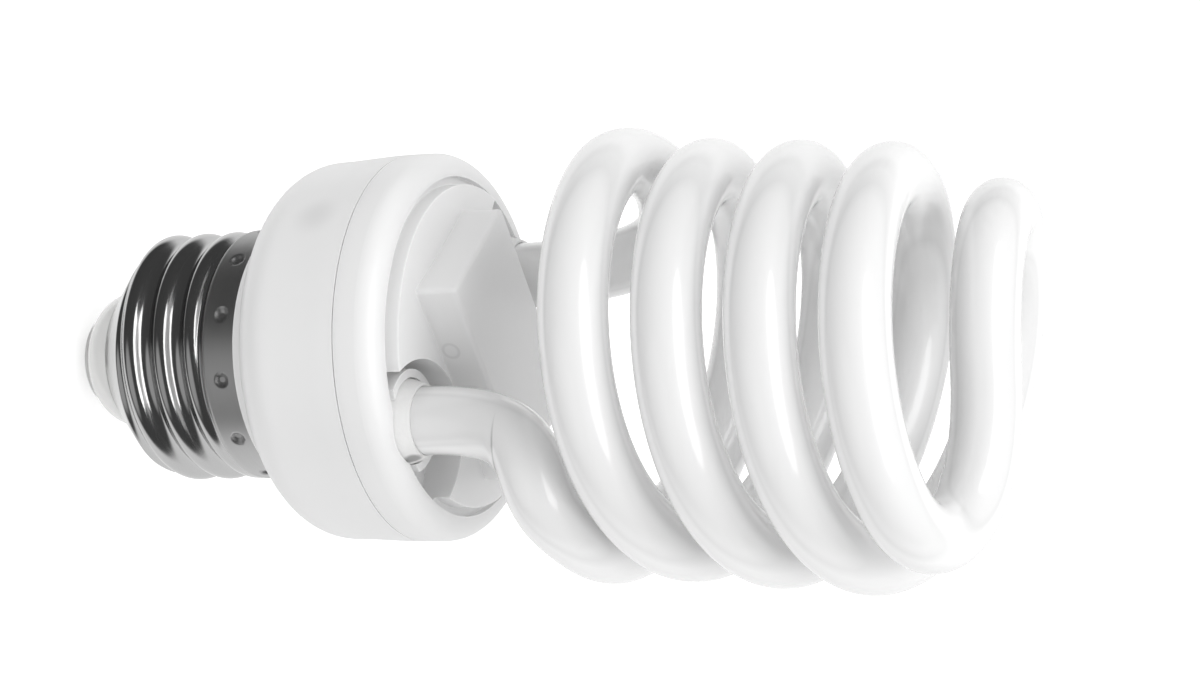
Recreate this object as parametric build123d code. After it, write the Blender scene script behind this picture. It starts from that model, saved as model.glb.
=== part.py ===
"""Compact fluorescent bulb: screw cap, plastic housing in two pieces, ballast and spiral glass tube.

Frame: the axis of the cap is Z, the flat tip of the centre contact is the origin, and the glass is on top.
Every length is in millimetres and every angle in degrees.
"""
from build123d import *
from math import cos, hypot, radians, sin, sqrt
import os

# The screw cap: a thin rolled shell with the coarse round lamp thread, seven turns to the inch.
THREAD_PITCH = 25.4 / 7
THREAD_CREST_R = 13.1
THREAD_ARC_R = 1.025
SHEET = 0.3
COLLAR_R = 13.15
COLLAR_LENGTH = 3.8
CAP_HEIGHT = 24.4
CONE_TOP_Z = 8.8
CONE_TOP_R = 11.3
CONE_FOOT_Z = 5.4
CONE_FOOT_R = 7.6
STAKE_COUNT = 12
STAKE_BALL_R = 0.9
STAKE_DEPTH = 0.5
STAKE_FIRST_ANGLE = -79.0

# The centre contact and the insulator that holds it.
CONTACT_R = 4.6
CONTACT_RISE = 1.0
CONTACT_TIP_R = 1.6
CONTACT_SHEET = 0.5
INSULATOR_BORE_R = 1.4
INSULATOR_WALL = 1.6
SHOULDER_RUN = 1.6
SHOULDER_RISE = 1.1

# The lower case: neck, flared shoulder and wall up to the seam. A lift is a height above the cap.
CASE_R = 20.1
CASE_WALL = 1.5
SEAM_LIFT = 15.0
SEAM_GAP = 0.12
NECK_LEDGE = 0.55
NECK_STEP = 1.0
NECK_INSERT = 10.5
NECK_BORE_R = 10.2
NECK_BORE_LIFT = 1.2
FLARE_INSET = 3.2
FLARE_LIFT = 2.6
SHOULDER_INSET = 0.35
SHOULDER_LIFT = 7.2
INNER_FLARE_INSET = 4.5
INNER_FLARE_LIFT = 4.1
INNER_SHOULDER_GAP = 0.2
INNER_SIDE_LIFT = 9.2
RIB_COUNT = 6
RIB_THICKNESS = 1.2
RIB_DEPTH = 2.6
RIB_HEIGHT = 2.4

# The cover that carries the glass: band, rounded shoulder, groove, low dome and raised block.
COVER_HEIGHT = 4.6
COVER_SHOULDER_R = 2.2
GROOVE_LIP = 0.3
GROOVE_WIDTH = 0.9
GROOVE_DEPTH = 0.7
DOME_EDGE_RISE = 1.0
DOME_RISE = 0.7
COVER_WALL = 1.5
SKIRT_WALL = 1.3
SKIRT_GAP = 0.12
HOOK_COUNT = 4
HOOK_WIDTH = 5.0
HOOK_HEIGHT = 1.0
HOOK_REACH = 0.5
BLOCK_LENGTH = 24.4
BLOCK_WIDTH = 14.3
BLOCK_RISE = 5.7
BLOCK_ANGLE = 36.0
BLOCK_WALL = 1.3
BLOCK_ROUND = 0.5

# The pockets round the two legs of the tube, and the collars that hold the cement.
POCKET_R = 8.2
POCKET_SHIFT = 1.3
POCKET_ANGLE = -53.0
POCKET_DEPTH = 2.6
LEG_COLLAR_R = 5.25
LEG_COLLAR_WALL = 0.85
COLLAR_DROP = 2.6
CEMENT_RISE = 1.4
CEMENT_SINK = 0.5
CEMENT_EDGE = 0.25
CEMENT_GAP = 0.05

# The glass tube: two legs, two arms of a double helix, and a crossing. A rise is above the cover.
TUBE_R = 3.45
LEG_INSET = 6.0
LEG_ANGLE = -58.9
LEG_DEPTH = 7.0
LEG_RISE = 1.2
LEAD_RISE = 15.0
LEAD_RUN = 8.1
COIL_R = 18.75
COIL_PITCH = 19.5
COIL_START_ANGLE = 325.0
COIL_START_RISE = 16.3
COIL_SWEEP = 704.0
FIRST_TURN_BULGE = 0.88
BULGE_HOLD = 35.0
BULGE_FADE = 150.0
COIL_PIECES = 8
PIECE_STEPS = 8
CURL_RUN = 10.4
CROSSING_RUN = 14.9
CROSSING_RISE = 57.6
CROSSING_ANGLE = 191.5
COIL_LEAN = 5.15
LEAN_DIRECTION = -33.7
LEAN_PIVOT_DEPTH = 3.5

# The ballast board and the wires of its parts.
BOARD_GAP = 0.8
BOARD_THICKNESS = 1.6
BOARD_DEPTH = 6.4
LEAD_R = 0.3
HOLE_GAP = 0.1
LEAD_PROUD = 0.8

# The electrolytic can that reaches down into the neck.
CAN_R = 5.0
CAN_LENGTH = 16.0
CAN_ROUND = 0.5
CAN_BEAD_R = 0.55
CAN_BEAD_DROP = 2.2
CAN_PITCH = 5.0

# The ballast choke: two E cores on a bobbin, standing in the raised block.
CORE_LENGTH = 12.6
CORE_DEPTH = 6.0
CORE_HEIGHT = 11.6
CORE_LEG = 2.6
CORE_POST = 3.2
BOBBIN_WALL = 0.7
BOBBIN_GAP = 0.15
WINDING_BUILD = 1.1
WINDING_GAP = 0.03
BOBBIN_FOOT_LENGTH = 10.0
CHOKE_PIN_X = 4.0
CHOKE_LEDGE = 1.6
CHOKE_STAND = 1.0

# The drive transformer: a small ferrite ring with three windings.
TOROID_R = 4.6
TOROID_BORE_R = 2.5
TOROID_HEIGHT = 3.4
TOROID_ROUND = 0.4
TOROID_PLACE_R = 10.4
TOROID_PLACE_ANGLE = 208.0
TURN_WIRE_R = 0.28
TURNS_PER_WINDING = 3
WINDING_COUNT = 3
TURN_STEP_ANGLE = 14.0
TURN_GAP = 0.05
TURN_ROUND = 0.5
FIRST_WINDING_ANGLE = 30.0

# The two switching transistors, flat-fronted round packages.
TRANSISTOR_R = 2.3
TRANSISTOR_FLAT = 1.2
TRANSISTOR_HEIGHT = 4.4
TRANSISTOR_STAND = 0.8
TRANSISTOR_PITCH = 1.5
TRANSISTOR_PLACE_R = 10.2
HIGH_SIDE_ANGLE = 40.0
LOW_SIDE_ANGLE = 8.0

# The box-shaped film capacitors.
FILM_ROUND = 0.6
FILM_PIN_PART = 0.36
RESONANT_SIZE = (9.0, 4.2, 4.4)
RESONANT_PLACE_R = 11.5
RESONANT_ANGLE = -80.0
BLOCKING_SIZE = (7.2, 3.2, 4.4)
BLOCKING_PLACE_R = 12.5
BLOCKING_ANGLE = 146.5

# Axial parts that lie under the board: body radius, body length and lead span.
AXIAL_BEND_R = 0.7
DIODE_BODY = (1.25, 4.4, 6.8)
DIODE_COUNT = 4
DIODE_STEP = 3.1
DIODE_Y = 12.4
RESISTOR_BODY = (0.95, 3.6, 6.4)
RESISTOR_PLACE_R = 13.9
RESISTOR_ANGLE = -117.0
DIAC_BODY = (0.95, 3.2, 6.0)
DIAC_PLACE_R = 13.9
DIAC_ANGLE = 33.0
FUSE_BODY = (1.5, 6.4, 10.0)
FUSE_PLACE_R = 13.4
FUSE_ANGLE = -28.0

# The wire posts, the filament leads and the two supply leads.
POST_R = 0.5
POST_HEIGHT = 2.6
POST_SPREAD_ANGLE = 30.0
POST_SHIFT = 1.3
FILAMENT_WIRE_R = 0.2
FILAMENT_SPREAD = 1.6
FILAMENT_BEND_R = 0.4
FILAMENT_HEIGHT = 1.4
SUPPLY_WIRE_R = 0.6
LIVE_RADIUS = 7.1
LIVE_ANGLE = -115.0
LIVE_LOW_BEND_R = 3.0
LIVE_HIGH_BEND_R = 4.0
LIVE_BEND_Z = 7.0
LIVE_SIDE_GAP = 2.0
NEUTRAL_BEND_R = 1.4
NEUTRAL_ANGLE = -34.0
NEUTRAL_INSET = 1.1

os.makedirs("parts", exist_ok=True)


def place(radius, angle, z=0.0):
    """A point at a radius and an angle about the axis."""
    return Vector(radius * cos(radians(angle)), radius * sin(radians(angle)), z)


def disc(radius, bottom, top, at=(0.0, 0.0)):
    """An upright cylinder between two heights."""
    return Pos(at[0], at[1], bottom) * extrude(Circle(radius), top - bottom)


def bar(size, bottom, at=(0.0, 0.0), angle=0.0):
    """An upright box of length, width and height, turned about its own middle."""
    return Pos(at[0], at[1], bottom) * Rot(0, 0, angle) * extrude(Rectangle(size[0], size[1]), size[2])


def turned(*edges):
    """A solid of revolution about Z from a closed outline of radius against height."""
    return revolve(Plane.XZ * make_face(edges), Axis.Z)


def turned_points(*points):
    return turned(Polyline(*points, close=True))


def wire_along(points, radius, bend):
    """A round wire along straight runs joined by tangent arcs."""
    path = FilletPolyline(*points, radius=bend)
    return sweep(Plane(origin=path @ 0, z_dir=path % 0) * Circle(radius), path=path)


def save(name, shape):
    """Writes one sub-part as parts/NAME.step."""
    export_step(shape, f"parts/{name}.step")
    return shape


# Screw cap
COLLAR_BOTTOM_Z = CAP_HEIGHT - COLLAR_LENGTH
THREAD_DEPTH = 2 * (THREAD_ARC_R - sqrt(THREAD_ARC_R ** 2 - (THREAD_PITCH / 4) ** 2))
ROOT_R = THREAD_CREST_R - THREAD_DEPTH
THREAD_TOP_Z = COLLAR_BOTTOM_Z - THREAD_PITCH / 2
THREAD_RIDGES = round((THREAD_TOP_Z - CONE_TOP_Z) / THREAD_PITCH)
COLLAR_INNER_R = COLLAR_R - SHEET


def cap_outline(skin):
    """Edges from the cone's lip over the round thread to the top of the collar, moved inwards by a skin."""
    crest_arc, root_arc = THREAD_ARC_R - skin, THREAD_ARC_R + skin
    crest_mid_r, root_mid_r = THREAD_CREST_R - THREAD_ARC_R, ROOT_R + THREAD_ARC_R
    step_r, step_z = THREAD_DEPTH / 2, THREAD_PITCH / 4
    length = hypot(step_r - THREAD_ARC_R, step_z)
    edges = [Line((CONE_FOOT_R - skin, CONE_FOOT_Z), (CONE_TOP_R - skin, CONE_TOP_Z))]
    last = edges[-1] @ 1
    for ridge in range(THREAD_RIDGES):
        crest_z = THREAD_TOP_Z - (THREAD_RIDGES - 1 - ridge) * THREAD_PITCH
        aim_r, aim_z = (root_mid_r - crest_mid_r) / 2 / length, step_z / length
        join_r, join_z = crest_mid_r + aim_r * crest_arc, aim_z * crest_arc
        if ridge:
            root = (ROOT_R - skin, crest_z - THREAD_PITCH / 2)
            edges.append(ThreePointArc(last, root, (join_r, crest_z - join_z)))
        else:
            edges.append(Line(last, (join_r, crest_z - join_z)))
        crest = (crest_mid_r + crest_arc, crest_z)
        edges.append(ThreePointArc((join_r, crest_z - join_z), crest, (join_r, crest_z + join_z)))
        last = edges[-1] @ 1
    edges.append(Line(last, (COLLAR_R - skin, COLLAR_BOTTOM_Z)))
    edges.append(Line((COLLAR_R - skin, COLLAR_BOTTOM_Z), (COLLAR_R - skin, CAP_HEIGHT)))
    return edges


def make_screw_shell():
    """Rolled shell of even thickness, staked inwards round the collar."""
    outer, inner = cap_outline(0), cap_outline(SHEET)
    closing = [Line(outer[0] @ 0, inner[0] @ 0), Line(outer[-1] @ 1, inner[-1] @ 1)]
    shell = turned(*outer, *inner, *closing)
    for ball in stakes(SHEET):
        shell += ball
    for ball in stakes(0):
        shell -= ball
    return shell


def stakes(skin):
    """Balls that press the collar into the neck, larger by a skin on the inner side."""
    middle_r = COLLAR_R + STAKE_BALL_R - STAKE_DEPTH
    middle_z = COLLAR_BOTTOM_Z + COLLAR_LENGTH / 2
    inside = disc(COLLAR_R - SHEET / 2, COLLAR_BOTTOM_Z, CAP_HEIGHT)
    for i in range(STAKE_COUNT):
        middle = place(middle_r, STAKE_FIRST_ANGLE + i * 360 / STAKE_COUNT, middle_z)
        ball = Pos(middle) * Sphere(STAKE_BALL_R + skin)
        yield ball & inside if skin else ball


def make_centre_contact():
    """Shallow pressed dome with a flat tip."""
    middle_r, middle_z = (CONTACT_TIP_R + CONTACT_R) / 2, CONTACT_RISE * 0.3
    outer = ThreePointArc((CONTACT_TIP_R, 0), (middle_r, middle_z), (CONTACT_R, CONTACT_RISE))
    inner = ThreePointArc((CONTACT_TIP_R, CONTACT_SHEET), (middle_r, middle_z + CONTACT_SHEET),
                          (CONTACT_R, CONTACT_RISE + CONTACT_SHEET))
    return turned(Line((0, 0), (CONTACT_TIP_R, 0)), outer, Line(outer @ 1, inner @ 1), inner,
                  Line(inner @ 0, (0, CONTACT_SHEET)), Line((0, CONTACT_SHEET), (0, 0)))


def make_cap_insulator():
    """White cone that carries the contact and fills the mouth of the shell."""
    top_z = CONTACT_RISE + CONTACT_SHEET
    slope_r, slope_z = CONE_TOP_R - CONE_FOOT_R, CONE_TOP_Z - CONE_FOOT_Z
    seat_r = CONE_FOOT_R - SHEET + slope_r * 0.6
    seat_z = CONE_FOOT_Z + slope_z * 0.6
    shoulder = ThreePointArc((CONTACT_R, top_z), (CONTACT_R + SHOULDER_RUN, top_z + SHOULDER_RISE),
                             (CONE_FOOT_R - SHEET, CONE_FOOT_Z))
    boss_r, boss_z = INSULATOR_BORE_R + INSULATOR_WALL, top_z + INSULATOR_WALL
    inside = Polyline(shoulder @ 1, (seat_r, seat_z), (seat_r - INSULATOR_WALL, seat_z), (boss_r, boss_z),
                      (INSULATOR_BORE_R, boss_z), (INSULATOR_BORE_R, top_z), shoulder @ 0)
    return turned(shoulder, inside)


# Lower case
NECK_R = COLLAR_R + NECK_LEDGE
NECK_FOOT_Z = CAP_HEIGHT - NECK_INSERT
FLARE_R = CASE_R - FLARE_INSET
FLARE_Z = CAP_HEIGHT + FLARE_LIFT
SHOULDER_R = CASE_R - SHOULDER_INSET
SHOULDER_Z = CAP_HEIGHT + SHOULDER_LIFT
SEAM_Z = CAP_HEIGHT + SEAM_LIFT
BOARD_BOTTOM_Z = SEAM_Z - BOARD_DEPTH
SPIGOT_R = ROOT_R - SHEET - HOLE_GAP
NECK_SPIGOT_R = COLLAR_INNER_R - HOLE_GAP
BOARD_TOP_Z = BOARD_BOTTOM_Z + BOARD_THICKNESS
CASE_INNER_R = CASE_R - CASE_WALL
BOARD_R = CASE_INNER_R - BOARD_GAP
NEUTRAL_Z = COLLAR_BOTTOM_Z + COLLAR_LENGTH / 2
GROOVE_Z = SEAM_Z - HOOK_HEIGHT * 3
CASE_TOP_Z = SEAM_Z - SEAM_GAP / 2


def make_lower_case():
    """Neck that plugs into the cap, flared shoulder, wall with a hook groove and ribs for the board."""
    neck = Line((NECK_R, CAP_HEIGHT), (NECK_R, CAP_HEIGHT + NECK_STEP))
    flare = Line(neck @ 1, (FLARE_R, FLARE_Z))
    bend = TangentArc(flare @ 1, (SHOULDER_R, SHOULDER_Z), tangent=flare % 1)
    side = Spline(bend @ 1, (CASE_R, CASE_TOP_Z), tangents=(bend % 1, (0, 1)))
    spigot = [(CASE_R, CASE_TOP_Z), (0, CASE_TOP_Z), (0, NECK_FOOT_Z), (SPIGOT_R, NECK_FOOT_Z),
              (SPIGOT_R, COLLAR_BOTTOM_Z - THREAD_PITCH / 4),
              (NECK_SPIGOT_R, COLLAR_BOTTOM_Z + HOLE_GAP * 3),
              (NECK_SPIGOT_R, CAP_HEIGHT), (NECK_R, CAP_HEIGHT)]
    body = turned(neck, flare, bend, side, Polyline(*spigot))
    bore = turned_points((0, NECK_FOOT_Z - 1), (NECK_BORE_R, NECK_FOOT_Z - 1),
                         (NECK_BORE_R, CAP_HEIGHT + NECK_BORE_LIFT),
                         (CASE_R - INNER_FLARE_INSET, CAP_HEIGHT + INNER_FLARE_LIFT),
                         (SHOULDER_R - CASE_WALL - INNER_SHOULDER_GAP, SHOULDER_Z),
                         (CASE_INNER_R, CAP_HEIGHT + INNER_SIDE_LIFT), (CASE_INNER_R, CASE_TOP_Z + 1),
                         (0, CASE_TOP_Z + 1))
    body -= bore
    groove = disc(CASE_INNER_R + HOOK_REACH, GROOVE_Z, GROOVE_Z + HOOK_HEIGHT + SKIRT_GAP * 2)
    body -= groove - disc(CASE_INNER_R - 1, GROOVE_Z - 1, GROOVE_Z + HOOK_HEIGHT + 1)
    for i in range(RIB_COUNT):
        angle = i * 360 / RIB_COUNT
        middle = place(CASE_INNER_R - RIB_DEPTH / 2 + CASE_WALL / 4, angle)
        size = (RIB_DEPTH + CASE_WALL / 2, RIB_THICKNESS, RIB_HEIGHT)
        body += bar(size, BOARD_BOTTOM_Z - RIB_HEIGHT, (middle.X, middle.Y), angle)
    for ball in stakes(SHEET + HOLE_GAP):
        body -= ball
    exit_point = place(NECK_BORE_R - 1, NEUTRAL_ANGLE, NEUTRAL_Z)
    hole = extrude(Circle(SUPPLY_WIRE_R + HOLE_GAP), COLLAR_R)
    return body - Plane(origin=exit_point, z_dir=place(1, NEUTRAL_ANGLE)) * hole


# Cover
COVER_BOTTOM_Z = SEAM_Z + SEAM_GAP / 2
COVER_TOP_Z = SEAM_Z + COVER_HEIGHT
SKIRT_R = CASE_INNER_R - SKIRT_GAP
GROOVE_R = CASE_R - COVER_SHOULDER_R - GROOVE_LIP
DOME_EDGE_R = GROOVE_R - GROOVE_WIDTH
DOME_EDGE_Z = COVER_TOP_Z + DOME_EDGE_RISE
DOME_TOP_Z = DOME_EDGE_Z + DOME_RISE
BLOCK_TOP_Z = COVER_TOP_Z + BLOCK_RISE
POCKET_FLOOR_Z = COVER_TOP_Z - POCKET_DEPTH
COLLAR_RIM_Z = COVER_TOP_Z
LEG_RADIUS = CASE_R - LEG_INSET
LEG_FOOT_Z = COVER_TOP_Z - LEG_DEPTH
POCKET_RADIUS = LEG_RADIUS + POCKET_SHIFT
LEG_AT = tuple(place(LEG_RADIUS, LEG_ANGLE))
POCKET_AT = tuple(place(POCKET_RADIUS, POCKET_ANGLE))
LEG_BORE_R = LEG_COLLAR_R - LEG_COLLAR_WALL


def both_legs(shape):
    """The shape and its copy half a turn round the axis."""
    return [shape, Rot(0, 0, 180) * shape]


def make_tube_cover():
    """Moulded cover: band, rounded shoulder, groove, dome, raised block, leg pockets, skirt and hooks."""
    round_start = COVER_TOP_Z - COVER_SHOULDER_R
    shoulder = RadiusArc((CASE_R, round_start), (CASE_R - COVER_SHOULDER_R, COVER_TOP_Z), -COVER_SHOULDER_R)
    middle_z = DOME_TOP_Z - (DOME_TOP_Z - DOME_EDGE_Z) / 4
    dome = ThreePointArc((DOME_EDGE_R, DOME_EDGE_Z), (DOME_EDGE_R / 2, middle_z), (0, DOME_TOP_Z))
    rim = Polyline(shoulder @ 1, (GROOVE_R, COVER_TOP_Z), (GROOVE_R, COVER_TOP_Z - GROOVE_DEPTH),
                   (DOME_EDGE_R, COVER_TOP_Z - GROOVE_DEPTH), (DOME_EDGE_R, DOME_EDGE_Z))
    lower = Polyline((0, DOME_TOP_Z), (0, COVER_BOTTOM_Z), (CASE_R, COVER_BOTTOM_Z), (CASE_R, round_start))
    body = turned(shoulder, rim, dome, lower)
    block = bar((BLOCK_LENGTH, BLOCK_WIDTH, BLOCK_TOP_Z - COVER_TOP_Z), COVER_TOP_Z, angle=BLOCK_ANGLE)
    block = fillet(block.edges().filter_by(Axis.Z) + block.faces().sort_by(Axis.Z)[-1].edges(), BLOCK_ROUND)
    body += block
    inner_top = COVER_TOP_Z - GROOVE_DEPTH - COVER_WALL
    skirt_inner = SKIRT_R - SKIRT_WALL
    dome_inner = DOME_EDGE_R - COVER_WALL
    cavity = turned_points((0, COVER_BOTTOM_Z - 1), (skirt_inner, COVER_BOTTOM_Z - 1),
                           (skirt_inner, inner_top - 1), (skirt_inner - 1, inner_top),
                           (dome_inner, inner_top), (dome_inner - 1, DOME_EDGE_Z - COVER_WALL),
                           (0, DOME_TOP_Z - COVER_WALL))
    room = (BLOCK_LENGTH - 2 * BLOCK_WALL, BLOCK_WIDTH - 2 * BLOCK_WALL)
    cavity += bar((*room, BLOCK_TOP_Z - BLOCK_WALL - inner_top), inner_top, angle=BLOCK_ANGLE)
    cup_foot = POCKET_FLOOR_Z - COVER_WALL
    cup = disc(POCKET_R + BLOCK_WALL, cup_foot, DOME_TOP_Z, POCKET_AT)
    cup &= disc(CASE_R - SKIRT_WALL / 2, cup_foot, DOME_TOP_Z)
    sleeve = disc(LEG_COLLAR_R, POCKET_FLOOR_Z - COLLAR_DROP, POCKET_FLOOR_Z, LEG_AT)
    sleeve &= disc(SKIRT_R, POCKET_FLOOR_Z - COLLAR_DROP, POCKET_FLOOR_Z)
    for solid in both_legs(cup) + both_legs(sleeve):
        cavity -= solid
    body -= cavity
    for solid in both_legs(sleeve):
        body += solid
    pocket = disc(POCKET_R, POCKET_FLOOR_Z, BLOCK_TOP_Z, POCKET_AT)
    pocket &= disc(GROOVE_R, POCKET_FLOOR_Z, BLOCK_TOP_Z)
    collar = disc(LEG_COLLAR_R, POCKET_FLOOR_Z, COLLAR_RIM_Z, LEG_AT)
    for solid in both_legs(pocket - collar):
        body -= solid
    skirt = disc(SKIRT_R, BOARD_TOP_Z, COVER_BOTTOM_Z)
    body += skirt - disc(SKIRT_R - SKIRT_WALL, BOARD_TOP_Z - 1, COVER_BOTTOM_Z + 1)
    bore = disc(LEG_BORE_R, LEG_FOOT_Z - COLLAR_DROP / 2, BLOCK_TOP_Z, LEG_AT)
    for solid in both_legs(bore):
        body -= solid
    hook_z = GROOVE_Z + SKIRT_GAP
    tip_r = SKIRT_R + HOOK_REACH
    hook_ring = turned_points((SKIRT_R - 0.3, hook_z - 0.4), (SKIRT_R, hook_z - 0.1), (tip_r, hook_z + 0.3),
                              (tip_r, hook_z + HOOK_HEIGHT), (SKIRT_R - 0.3, hook_z + HOOK_HEIGHT))
    for i in range(HOOK_COUNT):
        angle = LEG_ANGLE + (i + 0.5) * 360 / HOOK_COUNT
        middle = place(SKIRT_R, angle)
        body += hook_ring & bar((4, HOOK_WIDTH, 6), GROOVE_Z - 2, (middle.X, middle.Y), angle)
    return body


# Glass tube
LEG_STRAIGHT_Z = COVER_TOP_Z + LEG_RISE
COIL_START_Z = COVER_TOP_Z + COIL_START_RISE
CROSSING_Z = COVER_TOP_Z + CROSSING_RISE
LEAN_PIVOT_Z = COVER_TOP_Z - LEAN_PIVOT_DEPTH
LEAN_AXIS = Axis((0, 0, LEAN_PIVOT_Z), place(1, LEAN_DIRECTION + 90))


def coil_point(sweep_angle):
    """Middle of the tube on the first arm, at an angle along the helix, in the leaning coil."""
    bulge = FIRST_TURN_BULGE * max(0.0, min(1.0, 1 - (sweep_angle - BULGE_HOLD) / BULGE_FADE))
    height = COIL_START_Z + COIL_PITCH * sweep_angle / 360
    return place(COIL_R + bulge, COIL_START_ANGLE + sweep_angle, height)


def coil_heading(sweep_angle):
    """Direction of the first arm at an angle along the helix."""
    return (coil_point(sweep_angle + 0.5) - coil_point(sweep_angle - 0.5)).normalized()


def leaned(point, flip):
    """A point of the coil, on the first or the second arm, leaned with the whole coil."""
    turned_point = point.rotate(Axis.Z, flip)
    pivot = Vector(0, 0, LEAN_PIVOT_Z)
    return (turned_point - pivot).rotate(Axis((0, 0, 0), LEAN_AXIS.direction), COIL_LEAN) + pivot


def on_coil(sweep_angle, flip):
    """A point on the leaned helix of either arm, and the heading there."""
    point = leaned(coil_point(sweep_angle), flip)
    ahead = leaned(coil_point(sweep_angle) + coil_heading(sweep_angle), flip)
    return point, (ahead - point).normalized()


def arm_edges(flip):
    """Leg, lead, helix and curl of one arm, from its foot to the middle of the crossing."""
    foot = place(LEG_RADIUS, LEG_ANGLE + flip, LEG_FOOT_Z)
    shoulder = place(LEG_RADIUS, LEG_ANGLE + flip, LEG_STRAIGHT_Z)
    start, start_heading = on_coil(0, flip)
    end, end_heading = on_coil(COIL_SWEEP, flip)
    top = leaned(Vector(0, 0, CROSSING_Z), flip)
    back = leaned(Vector(0, 0, CROSSING_Z) - place(CROSSING_RUN, CROSSING_ANGLE), flip)
    leg = Line(foot, shoulder)
    lead = Bezier(shoulder, shoulder + Vector(0, 0, LEAD_RISE), start - start_heading * LEAD_RUN, start)
    helix = []
    span = COIL_SWEEP / COIL_PIECES
    for piece in range(COIL_PIECES):
        places = [on_coil(span * (piece + i / PIECE_STEPS), flip) for i in range(PIECE_STEPS + 1)]
        headings = (places[0][1], places[-1][1])
        helix.append(Spline(*[point for point, _ in places], tangents=headings))
    curl = Bezier(end, end + end_heading * CURL_RUN, back, top)
    return [leg, lead, *helix, curl]


def make_discharge_tube():
    """The whole sealed tube, swept from one leg's foot over the crossing to the other's."""
    path = Wire(arm_edges(0) + arm_edges(180))
    return sweep(Plane(origin=path @ 0, z_dir=path % 0) * Circle(TUBE_R), path=path)


def make_leg_cement(flip):
    """Cement that fills the collar round a leg and rises to the glass in a short cone."""
    outer_r = LEG_BORE_R - CEMENT_GAP
    inner_r = TUBE_R + CEMENT_GAP
    foot_z = POCKET_FLOOR_Z - COLLAR_DROP
    top_z = COLLAR_RIM_Z + CEMENT_RISE
    ring = turned_points((inner_r, foot_z), (outer_r, foot_z), (outer_r, COLLAR_RIM_Z - CEMENT_SINK),
                         (inner_r + CEMENT_EDGE, top_z), (inner_r, top_z))
    return Pos(place(LEG_RADIUS, LEG_ANGLE + flip)) * ring


# Ballast
HOLE_R = LEAD_R + HOLE_GAP
LEAD_TOP_Z = BOARD_TOP_Z + LEAD_PROUD
LEAD_FOOT_Z = BOARD_BOTTOM_Z - LEAD_PROUD
POST_RADIUS = LEG_RADIUS + POST_SHIFT
LIVE_SIDE_Z = BOARD_BOTTOM_Z - CAN_LENGTH - LIVE_SIDE_GAP
board_holes = []


def board_lead(x, y, bottom, top, radius=LEAD_R):
    """A straight lead through the board, whose hole is noted for the board."""
    board_holes.append((x, y, radius + HOLE_GAP))
    return disc(radius, bottom, top, (x, y))


def with_leads(body, points, bottom, frame=Location()):
    """A part under the board together with straight leads that go up through the board."""
    body = frame * body
    for x, y in points:
        at = frame * Pos(x, y)
        body += board_lead(at.position.X, at.position.Y, bottom, LEAD_TOP_Z)
    return body


def ring_frame(radius, angle):
    """A place on the board whose own X axis runs along the ring and whose Y axis points at the middle."""
    return Pos(place(radius, angle)) * Rot(0, 0, angle + 90)


def make_bulk_capacitor():
    """Electrolytic can hanging into the neck, with its rolled bead near the leads."""
    can = fillet(disc(CAN_R, BOARD_BOTTOM_Z - CAN_LENGTH, BOARD_BOTTOM_Z).edges(), CAN_ROUND)
    can -= Pos(0, 0, BOARD_BOTTOM_Z - CAN_BEAD_DROP) * Torus(CAN_R + CAN_BEAD_R / 2, CAN_BEAD_R)
    pins = [(-CAN_PITCH / 2, 0), (CAN_PITCH / 2, 0)]
    return with_leads(can, pins, BOARD_BOTTOM_Z - CAN_ROUND, Rot(0, 0, BLOCK_ANGLE))


CHOKE_FRAME = Rot(0, 0, BLOCK_ANGLE)
CHOKE_BASE_Z = BOARD_TOP_Z + CHOKE_STAND
CORE_MIDDLE_Z = CHOKE_BASE_Z + CORE_HEIGHT / 2
WINDOW_WIDTH = (CORE_LENGTH - 2 * CORE_LEG - CORE_POST) / 2
WINDOW_HEIGHT = CORE_HEIGHT - 2 * CORE_LEG
TUNNEL_WIDTH = CORE_POST + 2 * BOBBIN_GAP
TUNNEL_DEPTH = CORE_DEPTH + 2 * BOBBIN_GAP
BOBBIN_HEIGHT = WINDOW_HEIGHT - 2 * BOBBIN_GAP
BOBBIN_LOW_Z = CORE_MIDDLE_Z - BOBBIN_HEIGHT / 2


def make_choke_core():
    """Two E cores, face to face: outer frame and middle post."""
    core = bar((CORE_LENGTH, CORE_DEPTH, CORE_HEIGHT), CHOKE_BASE_Z)
    for side in (-1, 1):
        at = (side * (CORE_POST + WINDOW_WIDTH) / 2, 0)
        core -= bar((WINDOW_WIDTH, CORE_DEPTH + 2, WINDOW_HEIGHT), CORE_MIDDLE_Z - WINDOW_HEIGHT / 2, at)
    return CHOKE_FRAME * core


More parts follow.
